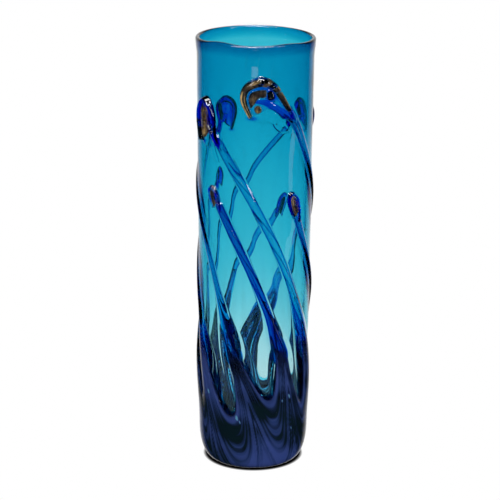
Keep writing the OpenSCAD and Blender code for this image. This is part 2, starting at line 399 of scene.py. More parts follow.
def relief(theta, z):
    """Height of everything that stands out of the body, blended where pieces meet."""
    total = np.zeros(np.broadcast(theta, z).shape)
    for stem in STEMS:
        for bump in (ridge(stem, theta, z), stem.head.bump(theta, z)):
            total = np.cbrt(total ** 3 + bump ** 3)
    uneven = 0.3 * noise(theta / 360, z / 360, 5, 7, 1)
    uneven = uneven + 0.1 * noise(theta / 360 + z / 900, z / 360, 13, 17, 2)
    for at, height in SEEDS:
        off = np.radians(turn(theta, at)) * outer_r(z)
        uneven = uneven + 0.7 * blob(off, z, 0, height, 0.9, 1.6)
    return total - sunk(theta, z) + uneven * smooth(z / 40) * smooth((HEIGHT - z) / 12)


# ---- meshes

def place(theta, z, r):
    """Points at these angles, heights and distances from the axis."""
    theta, z, r = np.broadcast_arrays(theta, z, r)
    a = np.radians(theta)
    return np.stack([r * np.sin(a), -r * np.cos(a), z], axis=-1)


def mesh_object(name, parts, **values):
    """An object from parts, each a pair of points and a list of face arrays, and its point values."""
    starts = np.cumsum([0] + [len(points) for points, _ in parts])
    points = np.vstack([points for points, _ in parts])
    faces = [f + start for (_, part), start in zip(parts, starts) for f in part]
    sizes = np.concatenate([np.full(len(f), f.shape[1]) for f in faces])
    corners = np.concatenate([f.reshape(-1) for f in faces])
    mesh = bpy.data.meshes.new(name)
    mesh.vertices.add(len(points))
    mesh.vertices.foreach_set("co", (points * MM).astype(np.float32).reshape(-1))
    mesh.loops.add(len(corners))
    mesh.loops.foreach_set("vertex_index", corners.astype(np.int32))
    mesh.polygons.add(len(sizes))
    mesh.polygons.foreach_set("loop_start", np.concatenate([[0], np.cumsum(sizes)[:-1]]).astype(np.int32))
    mesh.update(calc_edges=True)
    mesh.validate()
    mesh.shade_smooth()
    for key, value in values.items():
        attribute = mesh.attributes.new(key, "FLOAT", "POINT")
        attribute.data.foreach_set("value", np.asarray(value, np.float32).reshape(-1))
    obj = bpy.data.objects.new(name, mesh)
    bpy.context.scene.collection.objects.link(obj)
    return obj


def quads_of(count, columns, wrap=True):
    """Faces between rows of points, each row joined up round the object or left open."""
    i = np.arange(count - 1)[:, None] * columns
    j = np.arange(columns if wrap else columns - 1)[None, :]
    k = (j + 1) % columns
    return np.stack([i + j, i + k, i + columns + k, i + columns + j], axis=-1).reshape(-1, 4)


def turned(rows, inside_out=False):
    """Points and faces of a closed solid from rings of points, closed at its first and last ring."""
    count, columns = rows.shape[:2]
    points = np.vstack([rows.reshape(-1, 3), rows[0].mean(0), rows[-1].mean(0)])
    j = np.arange(columns)
    k = (j + 1) % columns
    n = count * columns
    end = (count - 1) * columns
    low = np.stack([n + 0 * j, k, j], axis=-1)
    high = np.stack([n + 1 + 0 * j, end + j, end + k], axis=-1)
    faces = [quads_of(count, columns), low, high]
    if inside_out:
        faces = [f[:, ::-1] for f in faces]
    return points, faces


def shell(name, outer, inner, present, wrap, **values):
    """A closed shell between two grids of points, where it is present. The grids meet at its edge."""
    count, columns = present.shape
    middle = (outer + inner) / 2
    outer, inner = (np.where(present[..., None], grid, middle) for grid in (outer, inner))
    total = count * columns
    quads = quads_of(count, columns, wrap)
    quads = quads[present.reshape(-1)[quads].any(axis=1)]
    points = np.vstack([outer.reshape(-1, 3), inner.reshape(-1, 3)])
    twin = np.arange(2 * total)
    edge = ~present.reshape(-1)
    twin[total:][edge] = np.arange(total)[edge]
    faces = [quads, twin[quads[:, ::-1] + total]]
    if wrap:
        points = np.vstack([points, outer[0].mean(0), inner[0].mean(0)])
        j = np.arange(columns)
        k = (j + 1) % columns
        faces.append(np.stack([2 * total + 0 * j, k, j], axis=-1))
        faces.append(np.stack([2 * total + 1 + 0 * j, total + j, total + k], axis=-1))
    keep = np.unique(np.concatenate([f.reshape(-1) for f in faces]))
    new = np.zeros(len(points), int)
    new[keep] = np.arange(len(keep))
    spread = {}
    for key, value in values.items():
        value = np.broadcast_to(value, present.shape).reshape(-1)
        both = np.concatenate([value, value, [value[0]] * (len(points) - 2 * total)])
        spread[key] = both[keep]
    return mesh_object(name, [(points[keep], [new[f] for f in faces])], **spread)


def finish_piece(obj, material, slot, *nodes):
    """Gives a piece its material and its body, and hides the CAD nodes that it replaces. The slot is not
    used.
    """
    obj.data.materials.clear()
    obj.data.materials.append(material)
    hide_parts(*nodes)
    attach(obj, "root")
    return obj


# ---- materials

CLEAR = {"Roughness": 0.0, "IOR": 1.0}   # glass that lies inside the clear body
WHITE = (1.0, 1.0, 1.0)


def principled(name, **values):
    """A new material with these values on its shader."""
    material = bpy.data.materials.new(name)
    material.use_nodes = True
    shader = material.node_tree.nodes["Principled BSDF"]
    for socket, value in values.items():
        shader.inputs[socket.replace("_", " ")].default_value = value
    return material, material.node_tree, shader


def absorb(tree, per_mm):
    """Fills a material's piece with glass that absorbs each colour at this rate to a millimetre."""
    per_m = np.array(per_mm) / MM
    density = float(per_m.max() * 1.02)
    volume = tree.nodes.new("ShaderNodeVolumeAbsorption")
    volume.inputs["Color"].default_value = (*(1 - per_m / density), 1)
    volume.inputs["Density"].default_value = density
    tree.links.new(volume.outputs[0], tree.nodes["Material Output"].inputs["Volume"])


def grain_of(tree, scale, stretch=(1.0, 1.0, 1.0)):
    """Soft noise in the piece's own space, about this many grains to a metre."""
    position = tree.nodes.new("ShaderNodeTexCoord")
    mapping = tree.nodes.new("ShaderNodeMapping")
    mapping.inputs["Scale"].default_value = stretch
    node = tree.nodes.new("ShaderNodeTexNoise")
    node.inputs["Scale"].default_value = scale
    node.inputs["Detail"].default_value = 3.0
    tree.links.new(position.outputs["Object"], mapping.inputs[0])
    tree.links.new(mapping.outputs[0], node.inputs["Vector"])
    return node.outputs["Fac"]


def ranged(tree, source, low, high, to_low, to_high):
    """A value's range from low to high, stretched over another range and held at its ends."""
    node = tree.nodes.new("ShaderNodeMapRange")
    for name, value in (("From Min", low), ("From Max", high), ("To Min", to_low), ("To Max", to_high)):
        node.inputs[name].default_value = value
    tree.links.new(source, node.inputs["Value"])
    return node.outputs["Result"]


def unevenness(tree, shader, scale, strength):
    """A faint bump all over a surface."""
    bump = tree.nodes.new("ShaderNodeBump")
    bump.inputs["Strength"].default_value = strength
    bump.inputs["Distance"].default_value = 0.001
    tree.links.new(grain_of(tree, scale, (1.0, 1.0, 0.4)), bump.inputs["Height"])
    tree.links.new(bump.outputs[0], shader.inputs["Normal"])


def clear_glass():
    """The outer glass. It alone bends light, because the coloured pieces lie inside it."""
    material, tree, shader = principled(
        "clear_glass", Base_Color=(1, 1, 1, 1), Roughness=0.0, IOR=1.5, Transmission_Weight=1.0)
    absorb(tree, (0.022, 0.014, 0.01))
    unevenness(tree, shader, 28.0, 0.12)
    tree.links.new(ranged(tree, grain_of(tree, 90.0), 0.35, 0.75, 0.0, 0.012), shader.inputs["Roughness"])
    return material


def corded_glass(name, scale, stretch, cord, per_mm):
    """Clear coloured glass with faint upright cords of this colour in it."""
    material, tree, shader = principled(name, Transmission_Weight=1.0, **CLEAR)
    cords = ramp_of(tree, grain_of(tree, scale, (1.0, 1.0, stretch)), (0.3, cord), (0.7, WHITE))
    tree.links.new(cords, shader.inputs["Base Color"])
    absorb(tree, per_mm)
    return material


def teal_glass():
    return corded_glass("teal_glass", 45.0, 0.25, (0.9, 0.955, 0.97), (2.3, 0.4, 0.21))


def cobalt_stem_glass():
    return corded_glass("cobalt_stem", 160.0, 0.1, (0.8, 0.88, 0.95), (9.0, 1.7, 0.42))


def value_of(tree, name):
    """A value that the mesh carries at its points."""
    node = tree.nodes.new("ShaderNodeAttribute")
    node.attribute_name = name
    return node.outputs["Fac"]


def ramp_of(tree, source, *stops):
    """A colour ramp over a value. Each stop is its place and its colour."""
    node = tree.nodes.new("ShaderNodeValToRGB")
    elements = node.color_ramp.elements
    while len(elements) < len(stops):
        elements.new(0.5)
    for stop, (at, color) in zip(elements, stops):
        stop.position = at
        stop.color = (*color, 1)
    tree.links.new(source, node.inputs[0])
    return node.outputs[0]


def mixed(tree, factor, a, b):
    """Colour a where the factor is 0, b where it is 1."""
    node = tree.nodes.new("ShaderNodeMix")
    node.data_type = "RGBA"
    tree.links.new(factor, node.inputs[0])
    for socket, value in ((node.inputs[6], a), (node.inputs[7], b)):
        if isinstance(value, tuple):
            socket.default_value = (*value, 1)
        else:
            tree.links.new(value, socket)
    return node.outputs[2]


def feed(tree, socket, value):
    """Sets a socket to a number, or links another node's output to it."""
    if isinstance(value, (int, float)):
        socket.default_value = value
    else:
        tree.links.new(value, socket)


def arithmetic(tree, operation, a, b):
    """a and b put together by a Math node, held between 0 and 1."""
    node = tree.nodes.new("ShaderNodeMath")
    node.operation = operation
    node.use_clamp = True
    feed(tree, node.inputs[0], a)
    feed(tree, node.inputs[1], b)
    return node.outputs[0]


def covered(tree, shader, share, gain, bare, cover):
    """Opaque where share is 1 and clear where it is 0. The colour turns from bare to cover this
    many times sooner, so that thin cover isn't milky."""
    tinted = arithmetic(tree, "MULTIPLY", share, gain)
    tree.links.new(mixed(tree, tinted, bare, cover), shader.inputs["Base Color"])
    tree.links.new(arithmetic(tree, "SUBTRACT", 1.0, share), shader.inputs["Transmission Weight"])


def cobalt_cup_glass():
    """Cobalt glass, clear and deep where milk is 0, and an opaque navy where it is 1."""
    material, tree, shader = principled("cobalt_gather", **CLEAR)
    # The palest stop colours the back's light threads and also the painted highlights in the gather.
    navy = ramp_of(tree, value_of(tree, "streak"),
                   (0.06, (0.008, 0.08, 0.055)), (0.2, (0.008, 0.02, 0.034)), (0.5, (0.04, 0.08, 0.26)),
                   (0.8, (0.08, 0.135, 0.46)), (0.95, (0.22, 0.6, 0.85)))
    covered(tree, shader, value_of(tree, "milk"), 18.0, (0.2, 0.8, 0.97), navy)
    absorb(tree, (4.5, 1.6, 0.4))
    return material


def cobalt_head_glass():
    """Cobalt glass, nearly black where milk is 1."""
    material, tree, shader = principled("cobalt_head", **CLEAR)
    covered(tree, shader, value_of(tree, "milk"), 6.0, WHITE, (0.006, 0.012, 0.02))
    absorb(tree, (3.4, 1.9, 0.1))
    return material


def silver_glass():
    """A lustre of silver leaf under the glass, with gaps in it where cover is 0."""
    material, tree, shader = principled("silver_glass", IOR=1.0)
    cover = value_of(tree, "cover")
    # The brightest stop serves the leaf's golden lines, which carry a painted highlight as well as the
    # lustre's colour.
    leaf = ramp_of(tree, value_of(tree, "tone"),
                   (0.1, (0.008, 0.006, 0.006)), (0.35, (0.09, 0.07, 0.055)), (0.55, (0.3, 0.2, 0.1)),
                   (0.85, (1.0, 0.72, 0.28)))
    covered(tree, shader, cover, 8.0, WHITE, leaf)
    unevenness(tree, shader, 900.0, 0.5)
    tree.links.new(ranged(tree, grain_of(tree, 500.0), 0.3, 0.7, 0.18, 0.45), shader.inputs["Roughness"])
    tree.links.new(arithmetic(tree, "MULTIPLY", cover, 0.3), shader.inputs["Metallic"])
    return material


# ---- the pieces

THETA = np.linspace(-180, 180, COLUMNS, endpoint=False)
ROW = 0.5   # height between the body's rows of points


def rim_wave(theta):
    """How far the lip runs up and down round the mouth, with a rise at each side of the front."""
    left, right = np.exp(-(turn(theta, -36) / 17) ** 2), np.exp(-(turn(theta, 32) / 17) ** 2)
    return 1.9 * left + 1.2 * right + 0.35 * noise(theta / 360, 0.5, 6, 1, 5)


def lip_lift(theta, z):
    """How far the lip's wave lifts a point at this height."""
    return rim_wave(theta) * smooth((z - HEIGHT + 30) / 28)


def heel_rows(count, start=0.0):
    """Heights up a rounded heel, close together at its foot."""
    return HEEL_H * (1 - np.cos(np.linspace(start, np.pi / 2, count)))


def body_rows():
    """The clear body's surface, from the middle of its base, up the outside and down the inside."""
    pontil = [(r, PONTIL_DEPTH * (1 - (r / PONTIL_R) ** 2)) for r in np.linspace(0.5, PONTIL_R, 12)]
    flat = [(r, 0.0) for r in np.linspace(PONTIL_R + 0.5, HEEL_R - 0.5, 18)]
    side_z = np.arange(HEEL_H + ROW, HEIGHT - LIP_BEAD, ROW)
    rows = [place(THETA, z, r) for r, z in pontil + flat]
    theta, z = THETA[None, :], np.array([*heel_rows(40), *side_z])[:, None]
    rows += list(place(theta, z + lip_lift(theta, z), outer_r(z) + relief(theta, z)))
    for a in np.radians(np.arange(8, 176, 8)):
        z = HEIGHT - LIP_BEAD + LIP_BEAD * math.sin(a) + rim_wave(THETA)
        rows.append(place(THETA, z, LIP_R + LIP_BEAD * math.cos(a)))
    z = np.array([z for z in side_z[::-4] if z > FLOOR_T + HEEL_H])[:, None]
    rows += list(place(theta, z + lip_lift(theta, z), inner_r(z) + inside_wave(theta, z)))
    bowl = FLOOR_T + HEEL_H * (1 - np.sin(np.linspace(0.02, np.pi / 2, 30)))
    rows += [place(THETA, z, inner_r(z)) for z in bowl]
    rows += [place(THETA, FLOOR_T, r) for r in np.linspace(float(inner_r(FLOOR_T)), 1.0, 16)[1:]]
    return np.array(rows)


def inside_wave(theta, z):
    """The cavity's gentle unevenness."""
    fade = smooth((z - 50) / 40) * smooth((HEIGHT - z) / 30)
    return 0.25 * fade * noise(theta / 360 + z / 1500, z / 360, 6, 5, 3)


def bubble(theta, z, r, size):
    """An air bubble: a closed hollow in the clear body."""
    side = np.radians(np.arange(15, 180, 30))
    ring = np.radians(np.arange(0, 360, 30))
    middle = place(theta, z, r)
    rows = [np.stack([np.cos(ring) * np.sin(a), np.sin(ring) * np.sin(a), -np.cos(a) + 0 * ring], axis=-1)
            for a in side]
    return turned(middle + np.stack(rows) * size, inside_out=True)


def make_casing():
    """The clear body, with two bubbles below the front head, one in its eye and two low down."""
    parts = [turned(body_rows())]
    front = next(s for s in STEMS if s.name == "front_tall")
    middle = front.head.angle
    for theta, z, out, size in (
            (middle + 16, front.head_mid - 21.5, -0.9, 0.6), (middle + 23, front.head_mid - 25, -1.0, 0.85),
            (middle + 12, front.head_mid - 3, 2.2, 0.7), (-22, 62, -1.2, 0.5), (26, 55, -1.2, 0.45)):
        parts.append(bubble(theta, z, float(outer_r(z)) + out, size))
    obj = mesh_object("clear_body", parts)
    return finish_piece(obj, clear_glass(), "clear_glass", "clear_casing")


def lining_t(z):
    """Thickness of the blue-green lining, which is blown out thin lower down."""
    return np.interp(z, [20, 85, 130, 175, 240, 320, 350], [0.12, 0.12, 0.34, 0.58, 0.84, 1.28, 1.35])


LINING_GAP = 0.15    # clear glass between the lining and the cavity
LINING_BEAD = 1.56   # the lining's own bead, just inside the lip's


def make_lining():
    """The lining, from the middle of the floor up the inside, round within the lip and down again."""
    theta = THETA[::2]
    z = np.array([*FLOOR_T + heel_rows(24), *np.arange(FLOOR_T + HEEL_H + 3, HEIGHT - 9, 3.0)])
    floor_r = np.linspace(1, float(inner_r(FLOOR_T)), 10)
    line_out = [(r, FLOOR_T - LINING_GAP - 0.3) for r in floor_r]
    line_out += [(float(inner_r(v)) + LINING_GAP + lining_t(v), v) for v in z]
    line_in = [(float(inner_r(v)) + LINING_GAP, v) for v in z[::-1]]
    line_in += [(r, FLOOR_T - LINING_GAP) for r in floor_r[::-1]]
    lip = [(LIP_R + LINING_BEAD * math.cos(a), HEIGHT - LIP_BEAD + LINING_BEAD * math.sin(a))
           for a in np.radians(np.arange(-20, 201, 20))]
    rows = []
    for r, v in line_out + lip + line_in:
        uneven = inside_wave(theta, v) if v > FLOOR_T + HEEL_H else 0
        rows.append(place(theta, v + lip_lift(theta, v), r + uneven))
    obj = mesh_object("teal_lining", [turned(np.array(rows))])
    return finish_piece(obj, teal_glass(), "teal_glass", "teal_lining")


def rod(stem, z_rows, half_of, low_of, high_of, aside_of=lambda z: 0.0, inside_out=False):
    """A closed rod along a stem, with its half width, its lowest and highest distance from the
    body, and its distance aside from the stem's middle at each height."""
    ring = np.radians(np.arange(0, -360, -15))
    rows = []
    for z in z_rows:
        half, low, high = float(half_of(z)), float(low_of(z)), float(high_of(z))
        side = half * np.cos(ring) + float(aside_of(z))
        out = (low + high) / 2 + (high - low) / 2 * np.sin(ring)
        lean = float(stem.lean(z))
        zz = z + side * math.sin(lean)
        theta = float(stem.angle(z)) + np.degrees(side * math.cos(lean) / outer_r(z))
        rows.append(place(theta, zz, outer_r(zz) + out))
    return turned(np.array(rows), inside_out)


TUBE_START = 84      # where the stems' tubes begin, below the gather's upper edge
THREADS = 8          # thin threads drawn along each stem


class Tube:
    """The tube of cobalt glass in a stem's clear ridge: its sizes at each height."""

    def __init__(self, stem):
        self.stem = stem
        self.rows = np.arange(TUBE_START, stem.neck + 5, 1.5)
        self.crest = relief(stem.angle(self.rows), self.rows) - 0.35

    def tip(self, z):
        """1 along the tube, narrowing to 0 at its two ends."""
        return float(smooth((z - TUBE_START + 2) / 20) * smooth((self.rows[-1] + 1 - z) / 6)) ** 0.5

    def half(self, z):
        return max(0.25, self.stem.half(z) * 0.86 * self.tip(z))

    def high(self, z):
        return min(2.35 * self.tip(z) - 0.25, float(np.interp(z, self.rows, self.crest)))

    def low(self, z):
        return -0.75 * self.tip(z) - 0.3

    def skin(self, z):
        """Thickness of the glass at the tube's front and back."""
        return self.stem.skin * self.tip(z) + 0.03

    def side(self, z):
        """Thickness of the glass at the tube's sides."""
        return min(0.28 + 1.7 * self.stem.skin + 0.03 * self.half(z), 0.6 * self.half(z))

    def hollow(self):
        return rod(
            self.stem, self.rows[1:-1],
            lambda z: self.half(z) - self.side(z),
            lambda z: self.low(z) + self.skin(z),
            lambda z: max(self.high(z) - self.skin(z), self.low(z) + self.skin(z) + 0.05),
            inside_out=True)

    def thread(self, aside, size, rows):
        """A thin thread along these rows. Its place aside is in half widths of the hollow."""
        first, last = rows[0], rows[-1]

        def wide(z):
            ends = float(smooth((z - first) / 12) * smooth((last - z) / (0.5 * (last - first))))
            return size * (0.12 + 1.6 * self.stem.skin) * (self.half(z) / 6) * ends + 0.015

        def middle(z):
            return (self.low(z) + self.high(z)) / 2 + 0.3

        def wander(z):
            return aside * (self.half(z) - self.side(z)) * (1 + 0.15 * math.sin(z / 23 + aside * 9))

        return rod(self.stem, rows, wide,
                   lambda z: middle(z) - wide(z), lambda z: middle(z) + wide(z), wander)


def make_stem(stem, material):
    """A stem: a tube of cobalt glass in the clear ridge, with thin threads drawn along it."""
    tube = Tube(stem)
    parts = [rod(stem, tube.rows, tube.half, tube.low, tube.high), tube.hollow()]
    random = np.random.default_rng(70 + STEM_NAMES.index(stem.name))
    for aside in np.linspace(-0.75, 0.75, THREADS) + random.uniform(-0.08, 0.08, THREADS):
        size = random.uniform(0.5, 1.7)
        reach = random.uniform(0.25, 1.0)
        first = int(random.integers(2, 8))
        parts.append(tube.thread(aside, size, tube.rows[first:max(12, int(len(tube.rows) * reach) - 6)]))
    obj = mesh_object("stem_" + stem.name, parts)
    return finish_piece(obj, material, "cobalt_stem", "stem_" + stem.name)


def surface_of(stem):
    """A grid over a head, with the head's fields and the noise that colours its glass and leaf."""
    head = stem.head
    step = 0.3 if stem.tall else 0.22
    x = np.arange(-1.25 * head.half_w, 1.75 * head.half_w, step)[None, :]
    y = np.arange(-1.35 * head.half_l, 1.1 * head.half_l, step)[:, None]
    x, y = np.broadcast_arrays(x, y)
    g = head.fields(x, y)
    g.z = head.z + y
    g.body = outer_r(g.z)
    g.theta = head.angle + np.degrees(x / g.body)
    g.top = relief(g.theta, g.z)
    g.seed = STEM_NAMES.index(stem.name) * 10
    across_it, along = np.clip(g.e, -1, 12) / 14 + 0.1, g.t / 1.01
    g.streak = noise(along, across_it, 5, 44, 40 + g.seed)
    g.streak = g.streak + 0.5 * noise(along, across_it, 9, 90, 41 + g.seed)
    g.blocks = noise(along + 0.02 * g.e, 0.5, 30, 1, 42 + g.seed)
    g.blocks = g.blocks + 0.3 * noise(along, across_it, 30, 14, 46 + g.seed)
    g.cloud = noise(g.u / 6 + 0.5, g.v / 4 + 0.5, 22, 15, 43 + g.seed)
    g.hood = stem.name == "front_tall"
    g.crown = smooth((g.t - 0.28) / 0.08) * smooth((0.64 - g.t) / 0.08) * g.hood
    return g


def sheet(g, name, high, low, present, **values):
    """A closed piece over a head's grid between two heights above the body."""
    outer, inner = (place(g.theta, g.z, g.body + height) for height in (high, low))
    return shell(name, outer, inner, present, False, **values)


def cobalt_depth(stem, g, depth):
    """Thickness of a head's cobalt: deep in the folds, thin in the film."""
    stem_side = smooth((g.t - 0.62) / 0.25)
    swoosh = smooth(1.25 - np.abs(g.f))
    under = blob(g.f, 0, 0.95, 0, 0.35, 1) * smooth((g.v + 1.3) / 0.3)
    folded = np.exp(-((g.e - 1.25) / 0.3) ** 2) * (g.dish + g.rim) * smooth((g.v + 0.8) / 0.3)
    here = np.clip(g.rim + g.dish + smooth((1 - np.abs(g.f)) / 0.2), 0, 1)
    bands = 1 + 0.8 * noise(g.f / 8 + 0.5, 0.5, 34, 1, 47 + g.seed)
    thick = depth * (0.7 + 0.6 * g.cloud) * (0.6 + 0.4 * g.rim) + 0.7 * folded + 1.1 * under
    thick = thick + 0.9 * swoosh * bands + (0.6 * stem_side * bands + 0.9 * g.crown) * g.rim
    thick = thick + 1.8 * blob(g.u, g.v, 0.45, 0.08, 0.24, 0.24) * (1 + g.cloud)
    thick = np.clip(thick, 0.12, 4.5) * here
    thick = thick + 1.1 * blob(g.u, g.v, -0.42, -1.03, 0.22, 0.08) * stem.tall
    return thick * smooth((g.v + 1.33) / 0.45), here


def make_head_glass(stem, g, material):
    """A head's cobalt, which is nearly black in the front head's blot and crown."""
    depth, patch = stem.head_look[2:]
    thick, here = cobalt_depth(stem, g, depth)
    high = np.maximum(g.top - (0.7 if depth > 3 else 1.3 if stem.tall else 0.8), 0.12)
    low = np.maximum(high - thick, -2.2)
    black = patch * 0.8 * blob(g.e, 0, -0.7, 0, 0.3, 1) * smooth((0.45 - g.t) / 0.2)
    black = np.maximum(black, smooth((0.09 - g.t) / 0.04) * g.rim * (stem.name == "left_tall"))
    blot = blob(g.u, g.v, 0.42, 0.08, 0.2, 0.26) + 0.35 * g.cloud + 0.25 * g.streak
    black = np.maximum(black, 0.8 * g.hood * smooth((blot - 0.55) / 0.25) * g.dish)
    black = np.maximum(black, 0.8 * g.crown * g.rim * smooth(0.6 + g.streak))
    obj = sheet(g, "head_" + stem.name, high, low, thick > 0.03, milk=np.clip(0.95 * black * here, 0, 1))
    return finish_piece(obj, material, "cobalt_head", "head_" + stem.name)


def leaf_cover(stem, g, reeds):
    """How far leaf covers a head, its share in the ball below the eye, and its dark share."""
    rim_leaf, dish_leaf, _, patch = stem.head_look
    rim = rim_leaf * smooth((0.9 - np.abs(g.e + 0.04)) / 0.16)
    rim = rim * smooth(g.t / 0.02) * smooth((0.9 - g.t) / 0.12)
    gaps = mix(0.9, 0.38, g.crown) + mix(0.8, 1.8, g.crown) * g.blocks + 0.5 * g.streak
    ball = smooth((0.2 - np.hypot(g.u + 0.15, g.v + 0.58) + 0.06 * g.cloud) / 0.08) * g.hood
    dark = patch * smooth((blob(g.u, g.v, 0.5, 0.1, 0.25, 0.5) - 0.35 + 0.2 * g.cloud) / 0.2)
    if g.hood:
        eye_low = -0.03 - 0.47 * smooth((-0.05 - g.u) / 0.45) + 0.05 * reeds
        core = dish_leaf * g.dish * smooth((g.e - 1.45) / 0.25) * smooth((g.v - eye_low) / 0.07)
        core = core * smooth((0.27 - g.u + 0.05 * g.cloud) / 0.08)
    else:
        drawn = 0.35 - g.u - 0.35 * g.v + 0.5 * g.streak
        core = dish_leaf * g.dish * smooth(drawn / 0.3)
        core = core * smooth((g.v + 0.95) / 0.2) * smooth((g.e - 1.2) / 0.2)
    core = np.clip(np.maximum(core, dark), 0, 1)
    return np.clip(rim * smooth(gaps) + core + ball, 0, 1), ball, dark


def leaf_tone(stem, g, reeds, ball, dark):
    """The leaf's tone from black at 0 through bronze to a golden yellow at 1. Its bright lines along the
    rim are partly the lustre's own colour and partly a painted highlight.
    """
    # Golden lines along the rolled rim: the lustre's colour with a painted highlight in it.
    gold_and_highlight = np.exp(-((g.e + 0.3 + 0.25 * smooth((g.t - 0.3) / 0.3)) / 0.17) ** 2)
    gold_and_highlight = gold_and_highlight + 0.6 * np.exp(-((g.e - 0.42) / 0.1) ** 2) * smooth((0.3 - g.t) / 0.1)
    gold_and_highlight = gold_and_highlight * np.clip(smooth((0.26 - g.t) / 0.08) + smooth((g.t - 0.52) / 0.06), 0, 1)
    rim = mix(0.27, 0.5, g.crown) + 0.2 * g.streak + 0.3 * g.blocks * g.crown + 1.0 * gold_and_highlight
    rim = rim - 0.25 * smooth((np.abs(g.e) - 0.7) / 0.15)
    core = 0.36 + (0.1 if g.hood else 0.3) * g.streak + 0.12 * g.cloud + 0.16 * g.hood * reeds
    core = core + 0.1 * (stem.name == "left_tall")
    bead = 0.5 + 0.35 * noise(g.u * 1.3 + 0.5, g.v + 0.9, 14, 9, 44 + g.seed)
    return np.clip(mix(np.where(g.e < 1.2, rim, core), bead, ball) - 0.25 * dark, 0, 1)


def make_leaf(stem, g, material):
    """The silver leaf, which lines the rolled rim, the eye of the dish and a small ball on its
    lower side, and is drawn out into fine streaks."""
    reeds = noise(g.u / 6 + 0.5, g.v / 12 + 0.5, 190, 3, 45 + g.seed)
    cover, ball, dark = leaf_cover(stem, g, reeds)
    high = np.maximum(g.top - 0.45, 0.1)
    obj = sheet(g, "silver_bit_" + stem.name, high, high - 0.1, cover > 0.03,
                cover=cover, tone=leaf_tone(stem, g, reeds, ball, dark))
    return finish_piece(obj, material, "silver_glass", "silver_bit_" + stem.name)


# Painted highlights in the gather: small pale opaque flecks that stand in for glints of light in its folds.
# Angle, height and half width; they are 2.6 times as tall.
PAINTED_GLINTS = [(-24, 83, 1.1), (-22, 76, 0.8), (-17, 46, 1.0), (-14, 43, 0.7), (39, 63, 1.0), (31, 60, 0.6),
          (44, 34, 0.6), (-52, 64, 0.8), (112, 58, 0.9), (-128, 49, 0.9), (171, 66, 0.8)]
# Dark patches in it: angle, height, half width and half height.
PATCHES = [(-68, 40, 13, 16), (-24, 34, 13, 9), (46, 30, 20, 14), (8, 50, 8, 8), (100, 36, 22, 14),
           (162, 34, 20, 12), (-140, 30, 24, 14)]
FLOW = 300.0         # length of the gather's flow across which its noise is spread


def gather_line():
    """The cobalt gather's outer line from the middle of the base up the side, and its normals."""
    flat = [(r, 0.0) for r in np.linspace(1, HEEL_R - 1, 24)]
    side = np.arange(HEEL_H + 0.8, GATHER_END + 2, 0.8)
    line = np.array(flat + [(float(outer_r(z)), z) for z in [*heel_rows(40, 0.02), *side]])
    step = np.gradient(line, axis=0)
    normal = np.stack([step[:, 1], -step[:, 0]], axis=1)
    return line, normal / np.linalg.norm(normal, axis=1)[:, None]


def bands_of(flow, cells, seed):
    """Noise that changes only across the flow, so that it makes long bands."""
    return noise(flow / FLOW, 0.5, cells, 1, seed)


def streaks(theta, z, gather):
    """Dark and light bands drawn out along the gather's U-shaped flow, from 0 to 1, and the
    separate threads that they part into where the tongues are clear."""
    drift = 5 * noise(theta / 360 + z / 700, z / 130, 11, 5, 11)
    broad, fine = bands_of(gather + drift, 62, 12), bands_of(gather + drift, 190, 13)
    cloud = noise(theta / 360 + z / 500, z / 130, 8, 4, 14)
    cloud = cloud + 0.5 * noise(theta / 360 + z / 300, z / 130, 15, 7, 15)
    low = smooth((70 - z) / 40)
    shade = 0.5 + mix(0.42, 0.46, low) * broad + mix(0.18, 0.24, low) * fine + 0.5 * cloud - 0.06 * low
    for at, height, wide, high in PATCHES:
        off = turn(theta, at) + 0.5 * (z - height)
        shade = shade - 0.36 * blob(off, z, 0, height, wide, high)
    shade = np.clip(shade, 0.19, 0.78)
    calm = gather + 0.4 * drift
    threads = smooth((bands_of(calm, 38, 16) + 0.45 * fine + 0.1) / 0.4)
    dark = smooth((bands_of(calm, 60, 17) + 0.3 * fine - 0.1) / 0.25)
    return shade, threads, dark


def gather_colour(theta, z, gather, thick):
    """The gather's shade and milk at each point, with its painted highlights, the share of it that is
    clear, and its threads.
    """
    shade, threads, dark = streaks(theta, z, gather)
    back = smooth((np.abs(theta) - 75) / 40)
    milk_top = mix(106, 42, back)
    filled = smooth((shade - 0.12) / 0.3 + 0.9 * smooth((72 - z) / 24) * (1 - back))
    milk = smooth((milk_top - z + 8 * shade) / 34) * filled * smooth(thick / 0.8)
    clear = smooth((z - milk_top + 32) / 20)
    dark = mix(dark, smooth((threads + dark) * 0.8), back)
    lines = mix(0.35, 0.9, back) * dark * clear * smooth((135 - z) / 30) * smooth(thick / 0.4)
    milk = np.maximum(milk, lines)
    kind = bands_of(gather + 3 * noise(theta / 360, z / 130, 9, 4, 19), 110, 18)
    line_shade = mix(0.12, mix(0.02, 0.97, smooth((kind + 0.5) / 0.95)), back)
    shade = mix(shade, line_shade, lines * (1 - smooth(milk - lines)))
    # Painted highlights: each fleck turns the colour to the ramp's palest blue and makes it opaque.
    for at, height, size in PAINTED_GLINTS:
        off = np.radians(turn(theta, at)) * outer_r(z) + 0.3 * (z - height)
        painted_glint = smooth(2.2 * blob(off, z, 0, height, size, 2.6 * size) - 0.5)
        shade, milk = mix(shade, 1.0, painted_glint), np.maximum(milk, painted_glint * smooth(thick / 0.3))
    return shade, milk * smooth(milk / 0.14), clear, threads


